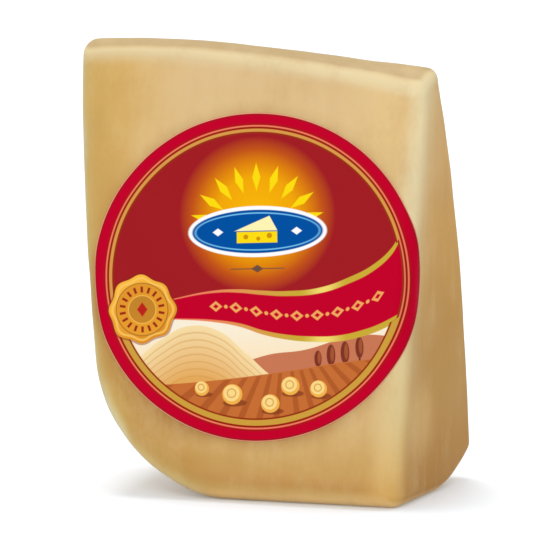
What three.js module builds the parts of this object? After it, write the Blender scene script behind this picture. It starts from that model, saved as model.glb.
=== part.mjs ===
// A portion of hard cheese, cut by hand from a wheel, with a round paper label on one cut face.
//
// The portion is a wedge that stands on the wheel's rim. X runs from the rind of the wheel's
// flat side (-X) to the cross cut (+X), Y runs through the wedge from the labelled cut (-Y) to
// the other radial cut (+Y), and Z runs from the rim (z = 0) up to the slanted cut that took
// the wheel's middle off. All sizes are in millimetres.

import * as THREE from 'three';
import { mergeVertices } from 'three/addons/utils/BufferGeometryUtils.js';

// Height of the level from which the two radial cuts open and the top slants away.
const height = 100;

// Rind of the wheel's flat side: it draws in towards the rim, ever faster, and turns into the
// rim with one large round corner. The corner's arc would end a little below the rim, so it
// meets the rim at a flat angle.
const rindSideX = -40.2;
const rindLean = 0.0075;
const rindCurve = 0.00102;
const rindCornerRadius = 27;
const rindCornerDrop = 0.6;

// Cross cut, a little out of square with the labelled cut.
const crossCutX = 34.5;
const crossCutTurn = 0.101;

// Radial cuts. The back one swells, a little more in its upper half.
const tipThickness = 3.2;
const frontFlare = 0.184;
const backFlare = 0.243;
const backSwell = 6.8;
const backSwellShift = 0.1;

// Slanted top: its fall along X, how far it drops off near the rind, and its fall along Y.
const topFall = 0.1677;
const topDrop = 7.35;
const topDropReach = 25.4;
const topTilt = 0.205;
const topTwist = 0.22;

// Rim: its rise at 25 mm from the middle, and the flat spot on which the portion rests.
const rimRise = 4.27;
const rimReach = 25;
const rimPower = 3.1;
const rimMiddleY = -3.9;
const restDepth = 0.3;

// Radii of the worn edges.
const topEdgeRadius = 2.5;
const nearEdgeRadiusTop = 2;
const nearEdgeRadiusFoot = 5.7;
const backEdgeRadius = 5.5;
const backEdgeRadiusFoot = 2.6;
const footZone = 0.4;

// Label: an oval sticker, nearly round, whose +X side laps round the near edge. There it is drawn
// out, the more the farther it laps, by this share for each square millimetre.
const labelCentreX = 0.55;
const labelCentreZ = 46.0;
const labelHalfWidth = 35.12;
const labelHalfHeight = 33.75;
const labelTurn = -0.1;
const labelLapStretch = 0.009;
const labelGap = 0.35;
const labelThickness = 0.35;

// Fineness of the meshes.
const cheeseSteps = new THREE.Vector3(26, 14, 30);
const edgeCrowding = 0.7;
const labelRings = 20;
const labelSectors = 72;

const cheeseMaterial = new THREE.MeshStandardMaterial({
  name: 'cheese', color: 0xe0bc80, roughness: 0.45, metalness: 0,
});
const labelMaterial = new THREE.MeshStandardMaterial({
  name: 'label', color: 0xa61c26, roughness: 0.4, metalness: 0,
});

const { clamp, lerp } = THREE.MathUtils;

// How far down from the tip, in millimetres and as a share of the height.
const depthAt = (z) => height - z;
const shareAt = (z) => depthAt(z) / height;

// Where each bounding surface lies.

const rindSideAt = (z) => rindSideX + rindLean * depthAt(z) + rindCurve * depthAt(z) ** 2;

const crossCutAt = (y) => crossCutX + crossCutTurn * y;

const frontCutAt = (z) => -(tipThickness / 2 + frontFlare * depthAt(z));

function backCutAt(z) {
  const share = shareAt(z);
  const swell = backSwell * 4 * share * (1 - share) * (1 + backSwellShift * (1 - 2 * share));
  return tipThickness / 2 + backFlare * depthAt(z) + swell;
}

function topAt(x, y) {
  const across = x - rindSideX;
  const share = across / (crossCutX - rindSideX);
  const drop = topDrop * Math.exp(-across / topDropReach);
  return height - topFall * across - drop + (topTilt + topTwist * share) * y;
}

function rimAt(y) {
  const rise = rimRise * (Math.abs(y - rimMiddleY) / rimReach) ** rimPower;
  return Math.max(rise - restDepth, 0);
}

// Radii of the long edges, which change on the way down.

const nearEdgeRadiusAt = (z) => lerp(nearEdgeRadiusTop, nearEdgeRadiusFoot, clamp(shareAt(z), 0, 1));

function backEdgeRadiusAt(z) {
  const footShare = clamp((shareAt(z) - 1 + footZone) / footZone, 0, 1);
  return lerp(backEdgeRadius, backEdgeRadiusFoot, footShare);
}

// The space inside two surfaces at once, with a fillet where they meet. Each surface is given
// as a signed distance, negative on the side of the cheese.
function roundedBoth(a, b, radius) {
  const intoFillet = Math.hypot(Math.max(a + radius, 0), Math.max(b + radius, 0));
  return Math.min(Math.max(a, b), -radius) + intoFillet;
}

// The same for two surfaces that cross at a flat angle, eased over where they cross.
function easedBoth(a, b, ease) {
  const near = Math.max(ease - Math.abs(a - b), 0);
  return Math.max(a, b) + near ** 2 / (4 * ease);
}

// Signed distance, or close to it, from the skin of the cheese.
function skinDistance({ x, y, z }) {
  const rindSlope = rindLean + 2 * rindCurve * depthAt(z);
  const rindSide = (rindSideAt(z) - x) / Math.hypot(1, rindSlope);
  const crossCut = (x - crossCutAt(y)) / Math.hypot(1, crossCutTurn);
  const frontCut = (frontCutAt(z) - y) / Math.hypot(1, frontFlare);
  const backCut = (y - backCutAt(z)) / Math.hypot(1, backFlare);
  const top = z - topAt(x, y);
  const rim = rimAt(y) - z;

  const corner = roundedBoth(rindSide, rim - rindCornerDrop, rindCornerRadius);
  const rind = easedBoth(corner, rim, rindCornerDrop);
  const cuts = roundedBoth(crossCut, top, topEdgeRadius);
  const outline = roundedBoth(rind, cuts, topEdgeRadius);
  const withFront = roundedBoth(outline, frontCut, nearEdgeRadiusAt(z));
  return roundedBoth(withFront, backCut, backEdgeRadiusAt(z));
}

function skinNormal(point) {
  const step = 1e-3;
  const slopeAlong = (axis) => {
    const ahead = point.clone().setComponent(axis, point.getComponent(axis) + step);
    const behind = point.clone().setComponent(axis, point.getComponent(axis) - step);
    return skinDistance(ahead) - skinDistance(behind);
  };
  return new THREE.Vector3(slopeAlong(0), slopeAlong(1), slopeAlong(2)).normalize();
}

// Corner of the wedge before its edges are rounded; each sign picks one of two sides. The
// surfaces depend on each other, so it is found in a few rounds.
function sharpCorner(signX, signY, signZ) {
  const corner = new THREE.Vector3();
  for (let round = 0; round < 8; round += 1) {
    corner.z = signZ > 0 ? topAt(corner.x, corner.y) : rimAt(corner.y);
    corner.y = signY > 0 ? backCutAt(corner.z) : frontCutAt(corner.z);
    corner.x = signX > 0 ? crossCutAt(corner.y) : rindSideAt(corner.z);
  }
  return corner;
}

const sides = [-1, 1];
const cornerSigns = sides.flatMap((x) => sides.flatMap((y) => sides.map((z) => [x, y, z])));
const corners = cornerSigns.map((signs) => ({ signs, place: sharpCorner(...signs) }));

// Point in the sharp wedge for a point in a cube whose x, y and z each run from -1 to 1.
function sharpPoint(cube) {
  const blended = new THREE.Vector3();
  for (const { signs: [signX, signY, signZ], place } of corners) {
    const weight = (1 + signX * cube.x) * (1 + signY * cube.y) * (1 + signZ * cube.z) / 8;
    blended.addScaledVector(place, weight);
  }
  return blended;
}

// Draws grid lines towards the edges, where the surface bends most.
const crowd = (t) => lerp(t, Math.sin(t * Math.PI / 2), edgeCrowding);

// The point where a ray from the core through the given point leaves the cheese.
function throwToSkin(core, through) {
  const ray = through.clone().sub(core);
  let inside = 0;
  let outside = 2;
  for (let halving = 0; halving < 40; halving += 1) {
    const middle = (inside + outside) / 2;
    if (skinDistance(core.clone().addScaledVector(ray, middle)) < 0) inside = middle;
    else outside = middle;
  }
  return core.clone().addScaledVector(ray, inside);
}

// Joins the vertices that a three.js geometry repeats along its seams, and drops the triangles
// that have closed up.
function closedSurface(geometry) {
  geometry.deleteAttribute('normal');
  geometry.deleteAttribute('uv');
  const merged = mergeVertices(geometry, 1e-4);
  const kept = [];
  const { array } = merged.index;
  for (let i = 0; i < array.length; i += 3) {
    const [a, b, c] = array.subarray(i, i + 3);
    if (a !== b && b !== c && c !== a) kept.push(a, b, c);
  }
  merged.setIndex(kept);
  merged.computeVertexNormals();
  return merged;
}

function mapVertices(geometry, move) {
  const { position } = geometry.attributes;
  const point = new THREE.Vector3();
  for (let i = 0; i < position.count; i += 1) {
    const moved = move(point.fromBufferAttribute(position, i));
    position.setXYZ(i, moved.x, moved.y, moved.z);
  }
  return geometry;
}

function makeCheese() {
  const core = new THREE.Vector3();
  for (const { place } of corners) core.addScaledVector(place, 1 / corners.length);
  const box = new THREE.BoxGeometry(2, 2, 2, cheeseSteps.x, cheeseSteps.y, cheeseSteps.z);
  mapVertices(box, (cube) => {
    const crowded = new THREE.Vector3(crowd(cube.x), crowd(cube.y), crowd(cube.z));
    const skin = throwToSkin(core, sharpPoint(crowded));
    if (Math.abs(skin.z) < 1e-5) skin.z = 0;
    return skin;
  });
  return new THREE.Mesh(closedSurface(box), cheeseMaterial);
}

// Lays the label's own coordinates, measured on its flat paper, along the front cut and on
// round the near edge.
function layOnFront(across, up) {
  const z = labelCentreZ + up / Math.hypot(1, frontFlare);
  const x = labelCentreX + across;
  const radius = nearEdgeRadiusAt(z);
  const axisY = frontCutAt(z) + radius;
  const axisX = crossCutAt(axisY) - radius * Math.hypot(1, crossCutTurn);
  if (x <= axisX) return new THREE.Vector3(x, frontCutAt(z), z);
  const lap = (x - axisX) * (1 + labelLapStretch * (x - axisX) ** 2);
  const edgeAngle = Math.PI / 2 - Math.atan(crossCutTurn);
  const angle = Math.min(lap / radius, edgeAngle);
  const beyond = lap - angle * radius;
  return new THREE.Vector3(
    axisX + radius * Math.sin(angle) + beyond * Math.cos(edgeAngle),
    axisY - radius * Math.cos(angle) + beyond * Math.sin(edgeAngle),
    z,
  );
}

// Moves a point to the given height above the skin.
function settle(point, level) {
  for (let round = 0; round < 8; round += 1) {
    point.addScaledVector(skinNormal(point), level - skinDistance(point));
  }
  return point;
}

function makeLabel() {
  const profile = [];
  for (let ring = 0; ring <= labelRings; ring += 1) {
    profile.push(new THREE.Vector2(ring / labelRings, 0));
  }
  for (let ring = labelRings; ring >= 0; ring -= 1) {
    profile.push(new THREE.Vector2(ring / labelRings, 1));
  }
  const disc = new THREE.LatheGeometry(profile, labelSectors);
  const turn = new THREE.Vector2(Math.cos(labelTurn), Math.sin(labelTurn));
  mapVertices(disc, ({ x, y: layer, z }) => {
    const alongWidth = labelHalfWidth * x;
    const alongHeight = -labelHalfHeight * z;
    const across = alongWidth * turn.x - alongHeight * turn.y;
    const up = alongWidth * turn.y + alongHeight * turn.x;
    return settle(layOnFront(across, up), labelGap + layer * labelThickness);
  });
  return new THREE.Mesh(closedSurface(disc), labelMaterial);
}

const portion = new THREE.Group();

const cheese = makeCheese();
cheese.name = 'cheese';
portion.add(cheese);

const label = makeLabel();
label.name = 'label';
portion.add(label);

// The origin goes under the middle of the bounding box.
const middle = new THREE.Box3().setFromObject(portion).getCenter(new THREE.Vector3());
portion.position.set(-middle.x, -middle.y, 0);

export default portion;
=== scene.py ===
"""Looks of a portion of hard cheese with a round printed label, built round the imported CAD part.

The cheese and the label are rebuilt as fine meshes on the same surfaces as the CAD solids, and
get node-based materials. Sizes are in millimetres, and meshes are turned into metres at the end.
"""

import math

import bpy
import numpy as np
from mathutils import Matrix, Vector


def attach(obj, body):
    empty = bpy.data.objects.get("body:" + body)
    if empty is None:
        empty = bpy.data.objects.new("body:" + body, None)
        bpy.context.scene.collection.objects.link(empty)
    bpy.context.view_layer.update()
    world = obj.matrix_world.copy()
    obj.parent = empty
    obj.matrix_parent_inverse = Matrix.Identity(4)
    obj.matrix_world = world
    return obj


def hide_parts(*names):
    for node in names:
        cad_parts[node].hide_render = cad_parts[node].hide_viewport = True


MM = 0.001

# ---------------------------------------------------------------- sizes of the cheese, in mm

HEIGHT = 100

RIND_SIDE_X = -40.2
RIND_LEAN = 0.0075
RIND_CURVE = 0.00102
RIND_CORNER_RADIUS = 27
RIND_CORNER_DROP = 0.6

CROSS_CUT_X = 34.5
CROSS_CUT_TURN = 0.101

TIP_THICKNESS = 3.2
FRONT_FLARE = 0.184
BACK_FLARE = 0.243
BACK_SWELL = 6.8
BACK_SWELL_SHIFT = 0.1

TOP_FALL = 0.1677
TOP_DROP = 7.35
TOP_DROP_REACH = 25.4
TOP_TILT = 0.205
TOP_TWIST = 0.22

RIM_RISE = 4.27
RIM_REACH = 25
RIM_POWER = 3.1
RIM_MIDDLE_Y = -3.9
REST_DEPTH = 0.3

TOP_EDGE_RADIUS = 2.5
NEAR_EDGE_RADIUS_TOP = 2
NEAR_EDGE_RADIUS_FOOT = 5.7
BACK_EDGE_RADIUS = 5.5
BACK_EDGE_RADIUS_FOOT = 2.6
FOOT_ZONE = 0.4

# Hand-cut unevenness: wave length and height of each layer of it. It fades in over the lowest
# few mm, so that the foot stays flat.
UNEVENNESS = ((24, 0.14), (8, 0.04))
UNEVENNESS_FADE = 4

# How strong the painted highlight along the near edge is, across it from the labelled cut to the
# cross cut: at first by place in radii of the edge, and then by place in mm. Place 0 is the middle
# of the edge.
HIGHLIGHT_BEFORE = ((-1.4, 0), (-0.95, 0.33), (-0.6, 0.75), (-0.2, 0.95), (0, 1))
HIGHLIGHT_BEYOND = ((1, 1), (2.6, 0.8), (5, 0.42), (7, 0.22), (9, 0.1), (12, 0))
# It is at its full this far off the back cut, and down to this depth under the nearer face.
HIGHLIGHT_OFF_BACK = 2.5
HIGHLIGHT_UNDER_FACES = 4

# ---------------------------------------------------------------- colours of the cheese

# The paste changes colour down to this depth under the rind, in mm, and the bands of colour
# wander by this much towards and away from the rind.
DEPTH_REACH = 40
RIND_WANDER = 2.5

# Colours are red, green and blue from 0 to 255, as on a screen.
RIND_FACE = (182, 147, 90)
FRONT_UPPER_RIGHT = (206, 178, 120)
SPOT = (196, 162, 106)
# Painted shadow round the label on the front cut.
LABEL_SHADOW_COLOUR = (142, 100, 50)
# Painted shade on the upward faces of the top cut.
TOP_PAINTED_SHADE = (166, 144, 105)
# Painted highlight along the edge below the top cut.
TOP_EDGE = (192, 175, 137)
# Painted light on the downward faces, against the shade near the floor.
UNDERSIDE = (236, 202, 148)
# Painted highlight along the back cut's edges.
BACK_EDGE_HIGHLIGHT = (198, 176, 130)
PALE_MOTTLING = (200, 176, 130)
DARK_MOTTLING = (156, 116, 62)

# ---------------------------------------------------------------- places of those colours

# Pairs say where a colour starts and where it is at its full, in mm in the part's frame: x runs
# along the front away from the rind, y back through the wedge, and z up. Depths are under a
# surface. With four numbers, a measure goes between the last two from one place to the other.
BEND_X = (-25.5, -22)
BEND_Z = (18, 27)
FOOT_X = (-12, -3)
HIGH_Z = (15, 88)
RIND_FACE_BEHIND_FRONT = (1.8, 4.5)
RIND_FACE_DEPTH = (4, 1.8)
UPPER_RIGHT_X = (18, 28)
UPPER_RIGHT_Z = (60, 75)
UPPER_RIGHT_SHARE = 0.35
CROSS_CUT_DEPTH = (2.5, 0.3)
# A paler spot on the cross cut: its middle along y and z, and its reach.
SPOT_MIDDLE = (-8.4, 16.5)
SPOT_REACH = (11, 2)
SPOT_SHARE = 0.5
# What faces up by more than this along x counts as the top cut, which gets painted shade, less some
# at its right end.
TOP_FACING = (-38, 30, 0.56, 0.84)
TOP_FACING_AT_END = (25, 33, 0, 0.08)
# The painted highlight along its edge reaches down to this depth along x, and is at its full at the
# next one.
TOP_HIGHLIGHT_REACH = (-20, 20, 4.9, 3.3)
TOP_HIGHLIGHT_FULL = 0.8
# Painted light on the underside: how far a face turns down, and its share along x.
UNDERSIDE_FACING = (-0.2, -1)
UNDERSIDE_SHARE = (-10, 28, 0.4, 1)
# Painted highlight along the back cut's edges: its depth, and its share by height.
BACK_EDGE_DEPTH = (3.5, 0.3)
BACK_EDGE_SHARE = (30, 60, 0.25, 0.6)

# ---------------------------------------------------------------- sizes of the label, in mm

LABEL_CENTRE_X = 0.55
LABEL_CENTRE_Z = 46.0
LABEL_HALF_WIDTH = 35.12
LABEL_HALF_HEIGHT = 33.75
# The turn of its oval in radians, and how it draws out where it laps round the near edge.
LABEL_TURN = -0.1
LABEL_LAP_STRETCH = 0.009
# The painted shadow round the label: angle in degrees round it from the right, strength, reach in
# mm.
LABEL_SHADOW_ROUND = (
    (30, 0.2, 2), (60, 0.3, 3), (120, 0.3, 3), (150, 0.35, 3), (168, 0.15, 2),
    (180, 0.5, 3), (195, 0.75, 4), (208, 0.5, 4), (218, 0.45, 4.5), (228, 0.75, 5),
    (238, 0.9, 6.5), (248, 0.9, 5), (260, 0.6, 2.2), (280, 0.65, 3.5), (300, 0.6, 3.5),
    (320, 0.3, 3),
)
PRINT_TURN = math.radians(-9.5)
LABEL_GAP = 0.02
LABEL_THICKNESS = 0.13

# ---------------------------------------------------------------- the label's print, in mm

# Places on the print are measured from its middle, across and up, on a disc of this radius.
PRINT_RADIUS = 34

# Radii of the rings, from the paper's rim inwards. The gold ring is wider below the band.
PAPER_RIM = 33.88
PAPER_EDGE = 33.5
BORDER_INNER = 31.97
RING_LINES = (31.49, 31.17, 30.75, 30.47)
GOLD_RING_INNER = 30.12
GOLD_RING_INNER_BELOW = 29.57

# Lines across the label as points, which the print joins by smooth curves.
BAND_UPPER_TRIM = (
    (-34, -9), (-25, -6.3), (-16.2, -4.1), (-8.2, -2.85), (-3.3, -2.85), (1, -3.25), (6.1, -3.55),
    (13, -3.05), (19.2, -1.1), (24.3, 1.4), (28.1, 4.7), (29.6, 7.2), (34, 16),
)
BAND_LOWER_TRIM = (
    (-34, -8.4), (-25, -8.3), (-16.2, -8.45), (-8.2, -9.05), (-3.3, -9.95), (1.5, -11.55),
    (6.6, -12.6), (11.6, -13.05), (16.7, -13), (21.7, -12.05), (25.5, -10.8), (29, -9), (34, -6),
)
# How wide the band's gold trim is from place to place.
TRIM_WIDTHS = ((-17, 0.2), (-8, 0.5), (0, 0.85), (13, 1.15), (30, 1.4))
# The chain of lozenges and dots along the band: its two ends, and half sizes.
CHAIN_SPAN = (-9.9, 26.7)
CHAIN_PITCH = 4.2
CHAIN_LOZENGE = (1.35, 1.1)
CHAIN_LOZENGE_HOLE = (0.6, 0.5)
CHAIN_DOT_RADIUS = 0.38

GLOW_CENTRE = (0.45, 12.9)
GLOW_RADIUS = 16.3
PLAQUE_CENTRE = (0.45, 9.4)
PLAQUE_HALF_SIZE = (14.4, 5.3)
# How far inside the plaque's outline its white rim ends and its pale line starts and ends.
PLAQUE_RIM = 0.8
PLAQUE_LINE = (1.35, 1.6)
# The drawn wedge of cheese, from the plaque's centre: the slopes of its top face and where they
# cross the centre line, the lower edge of that face, and the side face with its holes.
WEDGE_LEFT_SLOPE = (0.42, 2.1)
WEDGE_RIGHT_SLOPE = (-1.9, 8.2)
WEDGE_RIDGE_Y = 0.15
WEDGE_SIDE_Y = -1.2
WEDGE_SIDE_HALF_SIZE = (4.2, 1.15)
WEDGE_HOLES = ((-2.3, -1.1, 0.5), (0.3, -1.5, 0.42), (2.6, -0.9, 0.55))
PLAQUE_LOZENGE_X = 8.2
PLAQUE_LOZENGE_HALF_SIZE = (1.1, 0.8)
DIVIDER_Y = 1.7
DIVIDER_HALF_SIZE = (5.6, 0.1)
DIVIDER_LOZENGE_HALF_SIZE = (1.3, 0.8)
RAY_COUNT = 9
RAY_SPAN = 150
RAY_REACH = (8.4, 14.2)
RAY_HALF_WIDTH = 0.85

SEAL_CENTRE = (-23.9, -6.3)
SEAL_RADIUS = 6.9
SEAL_LOBES = 8
SEAL_LOBE_HEIGHT = 0.28
# Three slow waves round its outline, so that it looks pressed by hand.
SEAL_WOBBLE = (3, 0.18)
SEAL_FIELD_RADIUS = 5.3
SEAL_FIELD_LINE_RADIUS = 5.45
SEAL_DASHES = 18
SEAL_DASH_RADIUS = 4.15
SEAL_DASH_HALF_SIZE = (0.26, 0.62)
SEAL_HUB_RADIUS = 2.9
SEAL_LOZENGE_HALF_SIZE = (1.1, 1.5)

HILL_LINE = (
    (-34, -24), (-26, -17.5), (-20, -12.6), (-14, -9.9), (-8, -11), (-2, -16), (4, -21), (34, -28),
)
HILL_ROWS_PITCH = 1.5
FAR_HILL_LINE = ((-34, -30), (-6, -19), (2, -16.2), (10, -15.2), (18, -13), (25, -12.4), (34, -15))
FIELD_LINE = ((-34, -22.5), (-20, -22), (-8, -21.2), (6, -19.6), (18, -17.9), (34, -16.6))
# The furrows fan out from this place, at this angle in radians.
FURROW_CENTRE = (6, -8)
FURROW_ANGLE = 0.16
# Each bale's place and radius, and each tree's place and half sizes.
BALES = (
    (-5.2, -24.2, 2.1),
    (2.6, -26.2, 1.9),
    (6.8, -22.6, 1.9),
    (12.6, -23.3, 1.75),
    (-11.6, -22.9, 1.5),
)
TREES = (
    (12.6, -17.1, 0.75, 1.7),
    (15.3, -16.4, 0.9, 2.2),
    (18.2, -15.9, 0.9, 2.3),
    (21.2, -14.9, 0.85, 2.2),
)

# ---------------------------------------------------------------- fineness of the meshes

# Steps along x, y and z: of the CAD solid, whose box sets the origin, and of the mesh made here.
COARSE_STEPS = (26, 14, 30)
CHEESE_STEPS = (140, 72, 160)
EDGE_CROWDING = 0.55
LABEL_RINGS = 90
LABEL_SECTORS = 320

# ---------------------------------------------------------------- the photograph's view

PHOTO_SIZE = 550
CAMERA_AZIMUTH = 17
CAMERA_ELEVATION = 8
CAMERA_DISTANCE = 1200
CAMERA_FOCAL_PIXELS = 5790
CAMERA_AIM = (1.12, 0, 44.89)
SENSOR_WIDTH = 36

# ---------------------------------------------------------------- the stage and the lights

# The size is in m and the colour is linear, as nodes take it.
FLOOR_SIZE = 8
FLOOR_COLOUR = (0.66, 0.69, 0.725)
FLOOR_GLOW = 0.14
# Azimuth and elevation, strength, and spread. Angles are in degrees, as in direction().
KEY_SUN = (5, 25, 1.2, 50)
OVERHEAD_SUN = (222, 77, 1.3, 20)


# ================================================================ the shape

def both(a, b, radius):
    """The space inside two surfaces at once, with a fillet where they meet."""
    into_fillet = np.hypot(np.maximum(a + radius, 0), np.maximum(b + radius, 0))
    return np.minimum(np.maximum(a, b), -radius) + into_fillet


def both_eased(a, b, ease):
    """The space inside two surfaces at once, eased over where they cross at a flat angle."""
    near = np.maximum(ease - np.abs(a - b), 0)
    return np.maximum(a, b) + near**2 / (4 * ease)


def share_at(z):
    return (HEIGHT - z) / HEIGHT


def cross_cut_at(y):
    return CROSS_CUT_X + CROSS_CUT_TURN * y


def front_cut_at(z):
    return -(TIP_THICKNESS / 2 + FRONT_FLARE * (HEIGHT - z))


def back_cut_at(z):
    share = share_at(z)
    swell = BACK_SWELL * 4 * share * (1 - share) * (1 + BACK_SWELL_SHIFT * (1 - 2 * share))
    return TIP_THICKNESS / 2 + BACK_FLARE * (HEIGHT - z) + swell


def rind_side_at(z):
    depth = HEIGHT - z
    return RIND_SIDE_X + RIND_LEAN * depth + RIND_CURVE * depth**2


def top_at(x, y):
    across = x - RIND_SIDE_X
    share = across / (CROSS_CUT_X - RIND_SIDE_X)
    drop = TOP_DROP * np.exp(-across / TOP_DROP_REACH)
    return HEIGHT - TOP_FALL * across - drop + (TOP_TILT + TOP_TWIST * share) * y


def rim_at(y):
    rise = RIM_RISE * (np.abs(y - RIM_MIDDLE_Y) / RIM_REACH) ** RIM_POWER
    return np.maximum(rise - REST_DEPTH, 0)


def near_edge_radius_at(z):
    share = np.clip(share_at(z), 0, 1)
    return NEAR_EDGE_RADIUS_TOP + (NEAR_EDGE_RADIUS_FOOT - NEAR_EDGE_RADIUS_TOP) * share


def back_edge_radius_at(z):
    foot_share = np.clip((share_at(z) - 1 + FOOT_ZONE) / FOOT_ZONE, 0, 1)
    return BACK_EDGE_RADIUS + (BACK_EDGE_RADIUS_FOOT - BACK_EDGE_RADIUS) * foot_share


def surface_distances(points):
    """Signed distance of each point from the rind and from each cut, negative in the cheese."""
    x, y, z = points[..., 0], points[..., 1], points[..., 2]
    rind_slope = RIND_LEAN + 2 * RIND_CURVE * (HEIGHT - z)
    rind_side = (rind_side_at(z) - x) / np.hypot(1, rind_slope)
    rim = rim_at(y) - z
    rind = both(rind_side, rim - RIND_CORNER_DROP, RIND_CORNER_RADIUS)
    rind = both_eased(rind, rim, RIND_CORNER_DROP)
    cross_cut = (x - cross_cut_at(y)) / math.hypot(1, CROSS_CUT_TURN)
    top = z - top_at(x, y)
    front = (front_cut_at(z) - y) / math.hypot(1, FRONT_FLARE)
    back = (y - back_cut_at(z)) / math.hypot(1, BACK_FLARE)
    return rind, cross_cut, top, front, back


def ripples(points, wavelength, seed, waves=14):
    """A smooth random field of about that wavelength, mostly within -1 and 1."""
    random = np.random.default_rng(seed)
    directions = random.normal(size=(waves, 3))
    directions /= np.linalg.norm(directions, axis=1)[:, None]
    pitches = 2 * math.pi / (wavelength * random.uniform(0.7, 1.4, waves))
    phases = random.uniform(0, 2 * math.pi, waves)
    return np.sin(points @ (directions * pitches[:, None]).T + phases).sum(-1) / math.sqrt(waves)


def skin_distance(points):
    """Signed distance, or close to it, from the uneven skin of the cheese."""
    z = points[..., 2]
    rind, cross_cut, top, front, back = surface_distances(points)
    outline = both(rind, both(cross_cut, top, TOP_EDGE_RADIUS), TOP_EDGE_RADIUS)
    body = both(outline, front, near_edge_radius_at(z))
    body = both(body, back, back_edge_radius_at(z))
    above_rest = np.clip(z / UNEVENNESS_FADE, 0, 1)
    for seed, (wavelength, height) in enumerate(UNEVENNESS):
        body = body - height * above_rest * ripples(points, wavelength, seed)
    return body


def skin_normals(points, step=0.01):
    slopes = [
        skin_distance(points + offset) - skin_distance(points - offset)
        for offset in np.eye(3) * step
    ]
    normals = np.stack(slopes, -1)
    return normals / np.linalg.norm(normals, axis=-1, keepdims=True)


def settle(points, level):
    """Moves each point to the given height above the skin."""
    for _ in range(6):
        points = points + skin_normals(points) * (level - skin_distance(points))[..., None]
    return points


def sharp_corner(sign_x, sign_y, sign_z):
    """Corner of the wedge before its edges are rounded."""
    x = y = z = 0
    for _ in range(8):
        z = top_at(x, y) if sign_z > 0 else rim_at(y)
        y = back_cut_at(z) if sign_y > 0 else front_cut_at(z)
        x = cross_cut_at(y) if sign_x > 0 else rind_side_at(z)
    return np.array([x, y, z], float)


SIGNS = np.array([[x, y, z] for x in (-1, 1) for y in (-1, 1) for z in (-1, 1)])
CORNERS = np.array([sharp_corner(*signs) for signs in SIGNS])
CORE = CORNERS.mean(0)


def sharp_points(cube):
    """Points in the sharp wedge for points in a cube whose axes run from -1 to 1."""
    weights = np.prod(1 + SIGNS[None] * cube[:, None], axis=-1) / 8
    return weights @ CORNERS


def throw_to_skin(through):
    """Where the rays from the core through the given points leave the cheese."""
    rays = through - CORE
    inside = np.zeros(len(rays))
    outside = np.full(len(rays), 2.0)
    for _ in range(26):
        middle = (inside + outside) / 2
        within = skin_distance(CORE + rays * middle[:, None]) < 0
        inside = np.where(within, middle, inside)
        outside = np.where(within, outside, middle)
    return CORE + rays * inside[:, None]


def crowd(t):
    """Draws grid lines towards the edges, where the surface bends most."""
    return t + (np.sin(t * math.pi / 2) - t) * EDGE_CROWDING


def cube_surface(steps):
    """Grid points on the six faces of a cube and the quads between them, facing out."""
    points, quads = [], []
    for axis in range(3):
        u_axis, v_axis = (axis + 1) % 3, (axis + 2) % 3
        along_u = np.linspace(-1, 1, steps[u_axis] + 1)
        along_v = np.linspace(-1, 1, steps[v_axis] + 1)
        u, v = np.meshgrid(along_u, along_v, indexing="ij")
        rows, columns = u.shape
        index = np.arange(rows * columns).reshape(rows, columns)
        corners = (index[:-1, :-1], index[1:, :-1], index[1:, 1:], index[:-1, 1:])
        for side in (-1, 1):
            face = np.empty((rows * columns, 3))
            face[:, axis] = side
            face[:, u_axis] = u.ravel()
            face[:, v_axis] = v.ravel()
            turned = corners if side > 0 else corners[::-1]
            start = sum(len(p) for p in points)
            quads.append(np.stack([c.ravel() for c in turned], -1) + start)
            points.append(face)
    points, quads = np.concatenate(points), np.concatenate(quads)
    kept, merged = np.unique(points.round(9), axis=0, return_inverse=True)
    return kept, merged.ravel()[quads]


# ================================================================ meshes

def new_piece(name, points, faces, origin, attributes):
    """A smooth mesh object from points in mm, with one float attribute for each given array."""
    mesh = bpy.data.meshes.new(name)
    mesh.from_pydata(((points - origin) * MM).tolist(), [], [list(f) for f in faces])
    for attribute, values in attributes.items():
        layer = mesh.attributes.new(attribute, "FLOAT", "POINT")
        layer.data.foreach_set("value", np.asarray(values, np.float32))
    mesh.shade_smooth()
    piece = bpy.data.objects.new(name, mesh)
    bpy.context.scene.collection.objects.link(piece)
    return piece


def painted_label_shadow(points):
    """Painted shadow round the label on the front cut."""
    across = points[..., 0] - LABEL_CENTRE_X
    up = (points[..., 2] - LABEL_CENTRE_Z) * math.hypot(1, FRONT_FLARE)
    wide = across * math.cos(LABEL_TURN) + up * math.sin(LABEL_TURN)
    high = up * math.cos(LABEL_TURN) - across * math.sin(LABEL_TURN)
    outwards = np.hypot(wide / LABEL_HALF_WIDTH, high / LABEL_HALF_HEIGHT)
    clearance = (outwards - 1) * LABEL_HALF_HEIGHT
    angles, strengths, reaches = zip(*LABEL_SHADOW_ROUND)
    angle = np.degrees(np.arctan2(up, across))
    strength = np.interp(angle, angles, strengths, period=360)
    reach = np.interp(angle, angles, reaches, period=360)
    nearness = np.clip(1 - clearance / reach, 0, 1)
    front = surface_distances(points)[3]
    return np.where(front > -NEAR_EDGE_RADIUS_FOOT, strength * nearness ** 1.5, 0)


def near_edge_highlight(points, cross_cut, front, back):
    """Painted highlight along the near edge, and none on the back cut and the underside."""
    place = cross_cut - front
    before = np.interp(place / near_edge_radius_at(points[..., 2]), *zip(*HIGHLIGHT_BEFORE))
    beyond = np.interp(place, *zip(*HIGHLIGHT_BEYOND))
    off_back = np.clip(-back / HIGHLIGHT_OFF_BACK, 0, 1)
    on_faces = np.clip(2 + np.maximum(cross_cut, front) / HIGHLIGHT_UNDER_FACES, 0, 1)
    return np.minimum(before, beyond) * off_back * on_faces


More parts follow.
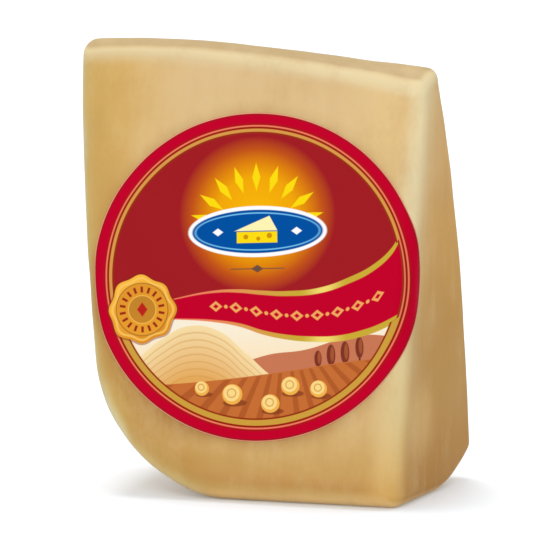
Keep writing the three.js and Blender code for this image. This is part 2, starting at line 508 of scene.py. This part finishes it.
def make_cheese(origin):
    cube, quads = cube_surface(CHEESE_STEPS)
    points = throw_to_skin(sharp_points(crowd(cube)))
    rind, cross_cut, top, front, back = surface_distances(points)
    attributes = {
        "rind_depth": -rind,
        "cross_depth": -cross_cut,
        "top_depth": -top,
        "front_depth": -front,
        "back_edge_depth": -np.minimum(cross_cut, back),
        "near_highlight": near_edge_highlight(points, cross_cut, front, back),
        "painted_label_shadow": painted_label_shadow(points),
    }
    return new_piece("cheese_body", points, quads.tolist(), origin, attributes)


def lay_on_front(across, up):
    """Lays the label's paper along the front cut and on round the near edge."""
    z = LABEL_CENTRE_Z + up / math.hypot(1, FRONT_FLARE)
    x = LABEL_CENTRE_X + across
    radius = near_edge_radius_at(z)
    axis_y = front_cut_at(z) + radius
    axis_x = cross_cut_at(axis_y) - radius * math.hypot(1, CROSS_CUT_TURN)
    edge_angle = math.pi / 2 - math.atan(CROSS_CUT_TURN)
    over = np.maximum(x - axis_x, 0)
    lap = over * (1 + LABEL_LAP_STRETCH * over**2)
    angle = np.minimum(lap / radius, edge_angle)
    beyond = lap - angle * radius
    return np.stack([
        np.minimum(x, axis_x) + radius * np.sin(angle) + beyond * math.cos(edge_angle),
        axis_y - radius * np.cos(angle) + beyond * math.sin(edge_angle),
        z,
    ], -1)


def make_label(origin):
    """A thin closed disc: rings of points on its outer side, then back along its inner side."""
    out = np.linspace(0, 1, LABEL_RINGS + 1)[1:]
    radii = np.concatenate([out, out[::-1]])
    levels = np.repeat([LABEL_GAP + LABEL_THICKNESS, LABEL_GAP], LABEL_RINGS)
    angles = np.linspace(0, 2 * math.pi, LABEL_SECTORS, endpoint=False)
    disc_x = np.append((radii[:, None] * np.cos(angles)).ravel(), [0, 0])
    disc_y = np.append((radii[:, None] * np.sin(angles)).ravel(), [0, 0])
    level = np.append(np.repeat(levels, LABEL_SECTORS), [levels[0], levels[-1]])

    wide, high = LABEL_HALF_WIDTH * disc_x, LABEL_HALF_HEIGHT * disc_y
    across = wide * math.cos(LABEL_TURN) - high * math.sin(LABEL_TURN)
    up = wide * math.sin(LABEL_TURN) + high * math.cos(LABEL_TURN)
    points = settle(lay_on_front(across, up), level)

    index = np.arange(2 * LABEL_RINGS * LABEL_SECTORS).reshape(-1, LABEL_SECTORS)
    turned = np.roll(index, -1, axis=1)
    quads = np.stack([index[:-1], index[1:], turned[1:], turned[:-1]], -1).reshape(-1, 4)
    front_pole, back_pole = len(points) - 2, len(points) - 1
    fans = [[front_pole, a, b] for a, b in zip(index[0], turned[0])]
    fans += [[back_pole, b, a] for a, b in zip(index[-1], turned[-1])]

    print_x = disc_x * math.cos(PRINT_TURN) - disc_y * math.sin(PRINT_TURN)
    print_y = disc_x * math.sin(PRINT_TURN) + disc_y * math.cos(PRINT_TURN)
    attributes = {"print_x": print_x * PRINT_RADIUS, "print_y": print_y * PRINT_RADIUS}
    return new_piece("label_sheet", points, quads.tolist() + fans, origin, attributes)


# ================================================================ node helpers

def srgb(red, green, blue):
    """A colour given as 0 to 255 on screen, as the linear values that nodes take."""
    screen = np.array([red, green, blue]) / 255
    linear = np.where(screen <= 0.04045, screen / 12.92, ((screen + 0.055) / 1.055) ** 2.4)
    return tuple(float(c) for c in linear)


class Nodes:
    """Builds a material's node tree from short calls. Numbers and sockets mix freely."""

    def __init__(self, name):
        self.material = bpy.data.materials.new(name)
        self.material.use_nodes = True
        self.tree = self.material.node_tree
        self.shader = self.tree.nodes["Principled BSDF"]

    def new(self, kind, **settings):
        node = self.tree.nodes.new(kind)
        for key, value in settings.items():
            setattr(node, key, value)
        return node

    def plug(self, socket, value):
        if isinstance(value, bpy.types.NodeSocket):
            self.tree.links.new(value, socket)
        elif isinstance(value, tuple) and len(value) == 3 and socket.type == "RGBA":
            socket.default_value = (*value, 1)
        else:
            socket.default_value = value

    def give(self, name, value):
        """Sets one of the shader's own inputs, or plugs a socket into it."""
        self.plug(self.shader.inputs[name], value)

    def emboss(self, relief, strength, distance):
        """Fine relief of the finish."""
        bump = self.new("ShaderNodeBump")
        self.plug(bump.inputs["Height"], relief)
        self.plug(bump.inputs["Strength"], strength)
        self.plug(bump.inputs["Distance"], distance)
        self.give("Normal", bump.outputs[0])

    def math(self, operation, *values):
        node = self.new("ShaderNodeMath", operation=operation)
        for socket, value in zip(node.inputs, values):
            self.plug(socket, value)
        return node.outputs[0]

    def add(self, a, b):
        return self.math("ADD", a, b)

    def less(self, a, b):
        return self.math("SUBTRACT", a, b)

    def times(self, a, b):
        return self.math("MULTIPLY", a, b)

    def over(self, a, b):
        return self.math("DIVIDE", a, b)

    def least(self, a, b):
        return self.math("MINIMUM", a, b)

    def most(self, a, b):
        return self.math("MAXIMUM", a, b)

    def size(self, a):
        return self.math("ABSOLUTE", a)

    def hypot(self, a, b):
        return self.math("SQRT", self.add(self.times(a, a), self.times(b, b)))

    def attribute(self, name):
        return self.new("ShaderNodeAttribute", attribute_name=name).outputs["Fac"]

    def mix(self, share, a, b):
        node = self.new("ShaderNodeMix", data_type="RGBA")
        for socket, value in zip((node.inputs[0], node.inputs[6], node.inputs[7]), (share, a, b)):
            self.plug(socket, value)
        return node.outputs[2]

    def spread(self, value, low, high, to_low=0.0, to_high=1.0, smooth=False):
        node = self.new("ShaderNodeMapRange")
        node.interpolation_type = "SMOOTHSTEP" if smooth else "LINEAR"
        for socket, given in zip(node.inputs, (value, low, high, to_low, to_high)):
            self.plug(socket, given)
        return node.outputs[0]

    def ramp(self, value, stops, reach=1.0):
        """Colours at given places along a value, which runs from 0 to the reach."""
        node = self.new("ShaderNodeValToRGB")
        elements = node.color_ramp.elements
        while len(elements) < len(stops):
            elements.new(0.5)
        for element, (place, colour) in zip(elements, stops):
            element.position = place / reach
            element.color = (*srgb(*colour), 1)
        self.plug(node.inputs[0], self.over(value, reach))
        return node.outputs[0]

    def curve(self, value, points, reach=PRINT_RADIUS):
        """A smooth line through points, as height over place; both lie within the reach."""
        node = self.new("ShaderNodeFloatCurve")
        line = node.mapping.curves[0]
        while len(line.points) < len(points):
            line.points.new(0.5, 0.5)
        for point, (place, height) in zip(line.points, points):
            point.location = ((place / reach + 1) / 2, (height / reach + 1) / 2)
        node.mapping.update()
        self.plug(node.inputs["Value"], self.spread(value, -reach, reach))
        return self.spread(node.outputs[0], 0, 1, -reach, reach)

    def parts(self, vector):
        node = self.new("ShaderNodeSeparateXYZ")
        self.plug(node.inputs[0], vector)
        return node.outputs

    def stretched(self, vector, scale):
        node = self.new("ShaderNodeVectorMath", operation="MULTIPLY")
        self.plug(node.inputs[0], vector)
        node.inputs[1].default_value = scale
        return node.outputs[0]

    def noise(self, vector, scale, detail=2.0, roughness=0.5):
        node = self.new("ShaderNodeTexNoise")
        self.plug(node.inputs["Vector"], vector)
        node.inputs["Scale"].default_value = scale
        node.inputs["Detail"].default_value = detail
        node.inputs["Roughness"].default_value = roughness
        return node.outputs[0]


# ================================================================ cheese material

class Paste(Nodes):
    """The skin of the cheese. Places and depths are mm, in the part's own frame."""

    def __init__(self, name):
        super().__init__(name)
        geometry = self.new("ShaderNodeNewGeometry")
        self.place = geometry.outputs["Position"]
        self.x, self.y, self.z = self.parts(self.stretched(self.place, (1 / MM, 1 / MM, 1 / MM)))
        self.facing_up = self.parts(geometry.outputs["Normal"])[2]
        self.colour = None

    def tint(self, share, colour):
        """Lays a colour over what is there."""
        self.colour = self.mix(share, self.colour, colour)


def colour_by_depth(n):
    """From the rind inwards, differently round the corner, on the foot and high up."""
    wander = n.times(n.less(n.noise(n.place, 60, 2), 0.5), RIND_WANDER)
    depth = n.most(n.add(n.attribute("rind_depth"), wander), 0)
    # The palest stops right at the rind's rounded edge are partly the rind's own colour and partly
    # a painted highlight.
    corner_colour = n.ramp(depth, (
        (0, (171, 161, 134)),
        (0.8, (182, 173, 139)),
        (1.6, (191, 180, 142)),
        (2.6, (187, 168, 116)),
        (4, (173, 141, 81)),
        (6.5, (166, 130, 70)),
        (10, (173, 138, 80)),
        (18, (182, 151, 101)),
    ), reach=DEPTH_REACH)
    bend_colour = n.ramp(depth, (
        (0, (184, 169, 130)),
        (0.8, (183, 162, 109)),
        (2, (176, 148, 88)),
        (3, (170, 136, 78)),
        (4.4, (165, 129, 69)),
        (6.5, (164, 125, 65)),
        (10, (173, 137, 79)),
        (18, (182, 151, 101)),
    ), reach=DEPTH_REACH)
    # On the foot the pale first stops are painted light against the shade near the floor.
    foot_colour = n.ramp(depth, (
        (0, (206, 168, 108)),
        (0.6, (200, 159, 94)),
        (1.3, (189, 151, 89)),
        (2.2, (174, 140, 79)),
        (4, (169, 128, 72)),
        (8, (173, 137, 79)),
        (12, (179, 145, 91)),
        (18, (182, 151, 101)),
    ), reach=DEPTH_REACH)
    high_colour = n.ramp(depth, (
        (0, (177, 163, 137)),
        (0.8, (178, 157, 108)),
        (1.8, (175, 147, 88)),
        (4.4, (178, 144, 81)),
        (9, (183, 148, 86)),
        (14, (188, 156, 102)),
        (24, (189, 160, 115)),
    ), reach=DEPTH_REACH)
    past_corner = n.spread(n.x, *BEND_X, smooth=True)
    past_corner = n.most(past_corner, n.spread(n.z, *BEND_Z, smooth=True))
    on_foot = n.spread(n.x, *FOOT_X, smooth=True)
    low_colour = n.mix(on_foot, n.mix(past_corner, corner_colour, bend_colour), foot_colour)
    n.colour = n.mix(n.spread(n.z, *HIGH_Z), low_colour, high_colour)

    behind_front = n.spread(n.attribute("front_depth"), *RIND_FACE_BEHIND_FRONT, smooth=True)
    near_rind = n.spread(depth, *RIND_FACE_DEPTH, smooth=True)
    n.tint(n.times(behind_front, near_rind), srgb(*RIND_FACE))
    upper = n.spread(n.z, *UPPER_RIGHT_Z, 0, UPPER_RIGHT_SHARE)
    n.tint(n.times(n.spread(n.x, *UPPER_RIGHT_X), upper), srgb(*FRONT_UPPER_RIGHT))


def colour_cross_cut(n):
    """The cross cut, with a pale spot low down near its labelled edge."""
    colour = n.ramp(n.z, (
        (5, (160, 116, 58)),
        (20, (167, 128, 68)),
        (35, (167, 126, 64)),
        (55, (180, 139, 76)),
        (88, (186, 152, 100)),
    ), reach=HEIGHT)
    to_spot = n.hypot(n.less(n.y, SPOT_MIDDLE[0]), n.less(n.z, SPOT_MIDDLE[1]))
    spot = n.spread(to_spot, *SPOT_REACH, 0, SPOT_SHARE, smooth=True)
    colour = n.mix(spot, colour, srgb(*SPOT))
    n.tint(n.spread(n.attribute("cross_depth"), *CROSS_CUT_DEPTH, smooth=True), colour)


def colour_top(n):
    """Painted shade on the top cut, told by how far it faces up, and a painted highlight along the
    edge just below it.
    """
    top_from = n.less(n.spread(n.x, *TOP_FACING), n.spread(n.x, *TOP_FACING_AT_END))
    beyond = n.less(n.facing_up, top_from)
    n.tint(n.spread(beyond, -0.1, 0.1), srgb(*TOP_PAINTED_SHADE))
    highlight_reach = n.spread(n.x, *TOP_HIGHLIGHT_REACH)
    top_highlight = n.spread(n.attribute("top_depth"), highlight_reach, TOP_HIGHLIGHT_FULL, smooth=True)
    n.tint(n.times(top_highlight, n.spread(beyond, 0.12, -0.1)), srgb(*TOP_EDGE))


def colour_other_edges(n):
    """Painted highlights along the near edge and the back cut's edges, and painted light on the
    underside.
    """
    # Painted highlight along the near edge, by height.
    near_highlight_colour = n.ramp(n.z, (
        (2, (185, 145, 79)),
        (10, (193, 163, 107)),
        (19, (193, 171, 123)),
        (67, (199, 183, 144)),
        (79, (204, 187, 146)),
        (86, (195, 180, 142)),
    ), reach=HEIGHT)
    n.tint(n.times(n.attribute("near_highlight"), n.spread(n.facing_up, 0.93, 0.7)), near_highlight_colour)
    # Painted light on the faces that turn down.
    below = n.spread(n.facing_up, *UNDERSIDE_FACING, 0, 0.6, smooth=True)
    n.tint(n.times(below, n.spread(n.x, *UNDERSIDE_SHARE)), srgb(*UNDERSIDE))
    # Painted highlight along the back cut's edges.
    back_edge_highlight = n.spread(n.attribute("back_edge_depth"), *BACK_EDGE_DEPTH, smooth=True)
    back_edge_highlight = n.times(back_edge_highlight, n.spread(n.z, *BACK_EDGE_SHARE))
    n.tint(n.times(back_edge_highlight, n.spread(n.facing_up, 0.9, 0.6)), srgb(*BACK_EDGE_HIGHLIGHT))


def mottle(n):
    """Upright streaks, blotches and grain, which make the paste paler or darker."""
    streaks = n.noise(n.stretched(n.place, (1, 1, 0.16)), 260, 3)
    blotches = n.noise(n.place, 75, 3, 0.55)
    grain = n.noise(n.stretched(n.place, (1, 1, 0.5)), 1300, 2)
    tone = n.add(n.spread(streaks, 0.3, 0.7, -0.1, 0.1), n.spread(blotches, 0.3, 0.7, -0.14, 0.14))
    tone = n.add(tone, n.spread(grain, 0.3, 0.7, -0.04, 0.04))
    n.tint(n.most(tone, 0), srgb(*PALE_MOTTLING))
    n.tint(n.most(n.times(tone, -1), 0), srgb(*DARK_MOTTLING))


def cheese_material():
    n = Paste("cheese_paste")
    colour_by_depth(n)
    colour_cross_cut(n)
    # Painted shadow round the label.
    n.tint(n.attribute("painted_label_shadow"), srgb(*LABEL_SHADOW_COLOUR))
    colour_top(n)
    colour_other_edges(n)
    mottle(n)
    n.give("Base Color", n.colour)
    n.give("Roughness", n.spread(n.noise(n.place, 90, 3), 0.3, 0.7, 0.42, 0.54))
    n.give("Specular IOR Level", 0.05)
    n.give("Subsurface Weight", 0.12)
    n.give("Subsurface Radius", (1.0, 0.6, 0.3))
    n.give("Subsurface Scale", 2 * MM)
    n.emboss(n.noise(n.place, 700, 4, 0.6), 0.12, 0.4 * MM)
    return n.material


# ================================================================ label material

class Print(Nodes):
    """Fields of colour printed one over another. Lengths are mm on the label's face."""

    softness = 0.07

    def __init__(self, name, ground):
        super().__init__(name)
        self.x = self.attribute("print_x")
        self.y = self.attribute("print_y")
        self.radius = self.hypot(self.x, self.y)
        self.colour = ground

    def inside(self, distance):
        """Turns a distance from an outline, negative inside it, into a mask."""
        return self.spread(distance, self.softness, -self.softness)

    def paint(self, distance, colour, share=1.0):
        mask = self.inside(distance)
        if share != 1.0:
            mask = self.times(mask, share)
        self.colour = self.mix(mask, self.colour, colour)

    def disc(self, x, y, radius):
        return self.less(self.hypot(self.less(self.x, x), self.less(self.y, y)), radius)

    def oval(self, x, y, half_width, half_height):
        across = self.over(self.less(self.x, x), half_width)
        up = self.over(self.less(self.y, y), half_height)
        return self.times(self.less(self.hypot(across, up), 1), min(half_width, half_height))

    def diamond(self, across, up, half_width, half_height):
        wide = self.over(self.size(across), half_width)
        high = self.over(self.size(up), half_height)
        return self.times(self.less(self.add(wide, high), 1), min(half_width, half_height) * 0.8)

    def box(self, x, y, half_width, half_height):
        across = self.less(self.size(self.less(self.x, x)), half_width)
        return self.most(across, self.less(self.size(self.less(self.y, y)), half_height))

    def repeated(self, value, pitch):
        """The value's distance from the nearest whole multiple of the pitch."""
        return self.less(value, self.times(self.math("ROUND", self.over(value, pitch)), pitch))

    def turned(self, x, y):
        """Distance from a place and angle round it, which is 0 straight up."""
        across, up = self.less(self.x, x), self.less(self.y, y)
        return self.hypot(across, up), self.math("ARCTAN2", across, up)


GOLD = srgb(184, 129, 61)
OLIVE_GOLD = srgb(174, 133, 50)
SALMON = srgb(205, 108, 80)
DEEP_RED = srgb(136, 22, 28)
CRIMSON = srgb(165, 0, 33)
LINE_RED = srgb(128, 22, 6)
BLUE = srgb(0, 66, 134)
PALE_BLUE = srgb(100, 168, 204)
WHITE = srgb(214, 214, 214)
YELLOW = srgb(214, 186, 10)
CREAM = srgb(214, 206, 150)
OCHRE = srgb(176, 122, 8)
BROWN = srgb(92, 66, 50)


def paint_glow(p):
    far = p.hypot(p.less(p.x, GLOW_CENTRE[0]), p.less(p.y, GLOW_CENTRE[1]))
    glow = p.ramp(far, (
        (0, (212, 156, 4)),
        (8, (205, 140, 4)),
        (11, (188, 108, 8)),
        (13.5, (165, 70, 18)),
        (GLOW_RADIUS, (136, 22, 28)),
    ), reach=30)
    p.colour = glow


def paint_rays(p):
    """A fan of pointed rays round the top of the plaque."""
    far, angle = p.turned(*PLAQUE_CENTRE)
    pitch = math.radians(RAY_SPAN / (RAY_COUNT - 1))
    middle = (RAY_REACH[0] + RAY_REACH[1]) / 2
    across = p.times(p.repeated(angle, pitch), far)
    ray = p.diamond(across, p.less(far, middle), RAY_HALF_WIDTH, RAY_REACH[1] - middle)
    within_fan = p.less(p.size(angle), math.radians(RAY_SPAN / 2) + pitch / 2)
    p.paint(p.most(ray, p.times(within_fan, RAY_REACH[1])), YELLOW)


def paint_plaque(p):
    """A plain blue oval with a cheese wedge on it."""
    x, y = PLAQUE_CENTRE
    half_width, half_height = PLAQUE_HALF_SIZE
    line_from, line_to = PLAQUE_LINE
    for inset, colour in ((0, WHITE), (PLAQUE_RIM, BLUE), (line_from, PALE_BLUE), (line_to, BLUE)):
        p.paint(p.oval(x, y, half_width - inset, half_height - inset), colour)
    across = p.less(p.x, x)
    up = p.less(p.y, y)
    sides = [
        p.less(up, p.add(p.times(across, slope), crossing))
        for slope, crossing in (WEDGE_LEFT_SLOPE, WEDGE_RIGHT_SLOPE)
    ]
    p.paint(p.most(p.most(*sides), p.less(WEDGE_RIDGE_Y, up)), CREAM)
    p.paint(p.box(x, y + WEDGE_SIDE_Y, *WEDGE_SIDE_HALF_SIZE), YELLOW)
    for hole_x, hole_y, radius in WEDGE_HOLES:
        p.paint(p.disc(x + hole_x, y + hole_y, radius), OCHRE)
    for side in (-1, 1):
        from_lozenge = p.less(p.x, x + side * PLAQUE_LOZENGE_X)
        p.paint(p.diamond(from_lozenge, up, *PLAQUE_LOZENGE_HALF_SIZE), WHITE)


def paint_divider(p):
    """A thin line with a lozenge in its middle, under the plaque."""
    x = PLAQUE_CENTRE[0]
    p.paint(p.box(x, DIVIDER_Y, *DIVIDER_HALF_SIZE), BROWN)
    lozenge = p.diamond(p.less(p.x, x), p.less(p.y, DIVIDER_Y), *DIVIDER_LOZENGE_HALF_SIZE)
    p.paint(lozenge, BROWN)


def paint_landscape(p):
    """Hills, a ploughed field with round bales, and trees."""
    p.colour = p.mix(p.spread(p.y, -10, -20), srgb(212, 202, 182), srgb(214, 190, 150))
    far_hills = p.less(p.y, p.curve(p.x, FAR_HILL_LINE))
    p.paint(far_hills, srgb(170, 100, 70))
    hill = p.less(p.y, p.curve(p.x, HILL_LINE))
    fallen = p.times(hill, -1)
    p.paint(hill, p.mix(p.spread(fallen, 0, 11), srgb(210, 187, 140), srgb(194, 142, 74)))
    rows = p.less(p.size(p.repeated(fallen, HILL_ROWS_PITCH)), 0.16)
    p.paint(p.most(rows, p.add(hill, 0.6)), srgb(178, 130, 62), 0.5)
    for x, y, half_width, half_height in TREES:
        p.paint(p.box(x, y - half_height, 0.18, 0.7), srgb(76, 36, 24))
        p.paint(p.oval(x, y, half_width, half_height), srgb(104, 42, 30))
        p.paint(p.oval(x + 0.25, y + 0.2, half_width * 0.45, half_height * 0.7), srgb(140, 70, 40))
    field = p.less(p.y, p.curve(p.x, FIELD_LINE))
    p.paint(field, srgb(168, 92, 42))
    angle = p.turned(*FURROW_CENTRE)[1]
    furrows = p.less(p.size(p.repeated(angle, FURROW_ANGLE)), 0.03)
    p.paint(p.most(p.times(furrows, 12), p.add(field, 0.2)), srgb(142, 68, 30), 0.7)
    for x, y, radius in BALES:
        shadow = p.oval(x + 0.5, y - radius * 0.85, radius * 1.2, radius * 0.35)
        p.paint(shadow, srgb(112, 50, 24), 0.8)
        p.paint(p.disc(x, y, radius), srgb(206, 150, 62))
        p.paint(p.disc(x - 0.15, y + 0.25, radius * 0.8), srgb(214, 184, 116))
        p.paint(p.less(p.size(p.disc(x - 0.15, y + 0.25, radius * 0.42)), 0.12), srgb(184, 136, 58))


def paint_band(p, upper, lower):
    """A crimson band with gold edges and a chain of lozenges along it."""
    p.paint(p.most(upper, p.times(lower, -1)), CRIMSON)
    middle = p.times(p.add(upper, lower), 0.5)
    along = p.repeated(p.x, CHAIN_PITCH)
    within = p.most(p.less(CHAIN_SPAN[0], p.x), p.less(p.x, CHAIN_SPAN[1]))
    lozenge = p.diamond(along, middle, *CHAIN_LOZENGE)
    to_dot = p.hypot(p.repeated(p.add(p.x, CHAIN_PITCH / 2), CHAIN_PITCH), middle)
    links = p.least(lozenge, p.less(to_dot, CHAIN_DOT_RADIUS))
    p.paint(p.most(links, within), srgb(206, 142, 78))
    p.paint(p.most(p.diamond(along, middle, *CHAIN_LOZENGE_HOLE), within), CRIMSON)
    half_trim = p.times(p.curve(p.x, TRIM_WIDTHS), 0.5)
    shine = p.spread(p.size(p.less(p.x, 14)), 5, 0, smooth=True)
    along_gold = p.mix(p.spread(p.x, -12, 8), SALMON, srgb(172, 144, 44))
    trim_colour = p.mix(shine, along_gold, srgb(206, 184, 92))
    for edge in (upper, lower):
        p.paint(p.less(p.size(edge), half_trim), trim_colour)


def paint_seal(p):
    """A scalloped gold seal with a ring of dashes and a small lozenge."""
    x, y = SEAL_CENTRE
    far, angle = p.turned(x, y)
    wobbles, wobble_height = SEAL_WOBBLE
    scallops = p.times(p.math("COSINE", p.times(angle, SEAL_LOBES)), SEAL_LOBE_HEIGHT)
    wobble = p.times(p.math("COSINE", p.add(p.times(angle, wobbles), 1)), wobble_height)
    outline = p.less(far, p.add(SEAL_RADIUS, p.add(scallops, wobble)))
    p.paint(p.less(outline, 0.35), srgb(112, 30, 18), 0.6)
    lit = p.spread(p.add(p.less(p.y, y), p.times(p.less(p.x, x), -0.5)), -7, 7)
    p.paint(outline, p.mix(lit, srgb(188, 118, 26), srgb(212, 156, 52)))
    p.paint(p.less(p.size(p.add(outline, 0.75)), 0.25), srgb(214, 172, 84), 0.7)
    p.paint(p.less(p.size(p.less(far, SEAL_FIELD_LINE_RADIUS)), 0.13), srgb(150, 100, 36))
    p.paint(p.less(far, SEAL_FIELD_RADIUS), p.mix(lit, srgb(198, 134, 36), srgb(190, 124, 34)))
    dash_across = p.times(p.repeated(angle, 2 * math.pi / SEAL_DASHES), far)
    dash_out = p.less(far, SEAL_DASH_RADIUS)
    half_across, half_out = SEAL_DASH_HALF_SIZE
    dash = p.most(p.less(p.size(dash_across), half_across), p.less(p.size(dash_out), half_out))
    p.paint(dash, srgb(128, 34, 20))
    p.paint(p.less(far, SEAL_HUB_RADIUS), p.mix(lit, srgb(172, 114, 34), srgb(160, 108, 34)))
    p.paint(p.less(p.size(p.less(far, SEAL_HUB_RADIUS)), 0.1), srgb(206, 158, 66))
    lozenge = p.diamond(p.less(p.x, x), p.less(p.y, y), *SEAL_LOZENGE_HALF_SIZE)
    p.paint(lozenge, srgb(160, 28, 20))


def paint_rings(p, upper, lower):
    """The border's thin rings. Within the band the gold ring gives way to a thin line."""
    outer_line, line_gap, gold_outer, band_line = RING_LINES
    in_band = p.inside(p.most(upper, p.times(lower, -1)))
    below = p.inside(lower)
    gold_inner = p.add(GOLD_RING_INNER, p.times(below, GOLD_RING_INNER_BELOW - GOLD_RING_INNER))
    gold_inner = p.add(gold_inner, p.times(in_band, band_line - GOLD_RING_INNER))
    outside = p.times(p.radius, -1)
    p.paint(p.add(outside, p.less(gold_inner, 0.35)), srgb(126, 40, 12))
    p.paint(p.add(outside, gold_inner), p.mix(in_band, p.mix(below, GOLD, OLIVE_GOLD), SALMON))
    p.paint(p.add(outside, gold_outer), LINE_RED)
    p.paint(p.add(outside, line_gap), SALMON)
    p.paint(p.add(outside, outer_line), srgb(148, 12, 22))
    p.paint(p.add(outside, BORDER_INNER), CRIMSON)
    p.paint(p.add(outside, PAPER_EDGE), srgb(140, 12, 27))
    p.paint(p.add(outside, PAPER_RIM), srgb(222, 150, 124))


def label_material():
    p = Print("label_print", DEEP_RED)
    upper = p.less(p.y, p.curve(p.x, BAND_UPPER_TRIM))
    lower = p.less(p.y, p.curve(p.x, BAND_LOWER_TRIM))
    paint_glow(p)
    paint_rays(p)
    paint_plaque(p)
    paint_divider(p)
    above = p.colour
    paint_landscape(p)
    p.colour = p.mix(p.inside(lower), above, p.colour)
    paint_band(p, upper, lower)
    paint_rings(p, upper, lower)
    paint_seal(p)
    p.give("Base Color", p.colour)
    place = p.new("ShaderNodeNewGeometry").outputs["Position"]
    p.give("Roughness", p.spread(p.noise(place, 400, 2), 0.3, 0.7, 0.36, 0.46))
    p.give("Specular IOR Level", 0.01)
    p.emboss(p.noise(place, 2500, 2), 0.05, 0.1 * MM)
    return p.material


# ================================================================ stage, camera and light

def make_floor():
    bpy.ops.mesh.primitive_plane_add(size=FLOOR_SIZE)
    floor = bpy.context.object
    floor.name = "floor"
    n = Nodes("floor_paper")
    n.give("Base Color", FLOOR_COLOUR)
    n.give("Roughness", 0.8)
    n.give("Specular IOR Level", 0.1)
    n.give("Emission Color", (1, 1, 1))
    n.give("Emission Strength", FLOOR_GLOW)
    floor.data.materials.append(n.material)


def direction(azimuth, elevation):
    """Unit vector from the part towards a place; azimuth 0 is in front of the label."""
    a, e = math.radians(azimuth), math.radians(elevation)
    return np.array([math.sin(a) * math.cos(e), -math.cos(a) * math.cos(e), math.sin(e)])


def aim(thing, towards):
    """Turns a lamp or camera so that it looks against the given direction."""
    thing.rotation_euler = Vector(-towards).to_track_quat("-Z", "Y").to_euler()


def make_camera(origin):
    data = bpy.data.cameras.new("camera")
    data.sensor_width = SENSOR_WIDTH
    data.lens = SENSOR_WIDTH * CAMERA_FOCAL_PIXELS / PHOTO_SIZE
    data.clip_start = 0.05
    data.clip_end = 50
    camera = bpy.data.objects.new("camera", data)
    bpy.context.scene.collection.objects.link(camera)
    back = direction(CAMERA_AZIMUTH, CAMERA_ELEVATION)
    camera.location = ((np.array(CAMERA_AIM) - origin + back * CAMERA_DISTANCE) * MM).tolist()
    aim(camera, back)
    bpy.context.scene.camera = camera


def make_sun(name, azimuth, elevation, strength, spread):
    data = bpy.data.lights.new(name, "SUN")
    data.energy = strength
    data.angle = math.radians(spread)
    sun = bpy.data.objects.new(name, data)
    bpy.context.scene.collection.objects.link(sun)
    aim(sun, direction(azimuth, elevation))


def make_light():
    world = bpy.data.worlds.new("studio")
    world.use_nodes = True
    world.node_tree.nodes["Background"].inputs["Color"].default_value = (1, 1, 1, 1)
    world.node_tree.nodes["Background"].inputs["Strength"].default_value = 1.0
    scene = bpy.context.scene
    scene.world = world
    scene.view_settings.view_transform = "Standard"
    make_sun("key", *KEY_SUN)
    make_sun("overhead", *OVERHEAD_SUN)


# ================================================================ the scene

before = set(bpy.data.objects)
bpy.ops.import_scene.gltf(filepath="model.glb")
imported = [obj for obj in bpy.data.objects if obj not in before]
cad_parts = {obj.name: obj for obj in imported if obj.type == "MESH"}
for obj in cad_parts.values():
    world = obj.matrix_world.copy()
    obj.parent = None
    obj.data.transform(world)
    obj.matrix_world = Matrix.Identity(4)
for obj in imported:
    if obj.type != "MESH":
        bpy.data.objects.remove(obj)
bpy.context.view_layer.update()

coarse_cube, _ = cube_surface(COARSE_STEPS)
coarse = throw_to_skin(sharp_points(crowd(coarse_cube)))
middle = (coarse.min(0) + coarse.max(0)) / 2
origin = np.array([middle[0], middle[1], 0])

cheese = make_cheese(origin)
cheese.data.materials.append(cheese_material())
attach(cheese, "root")
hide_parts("cheese")

label = make_label(origin)
label.data.materials.append(label_material())
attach(label, "root")
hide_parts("label")

make_floor()
make_camera(origin)
make_light()
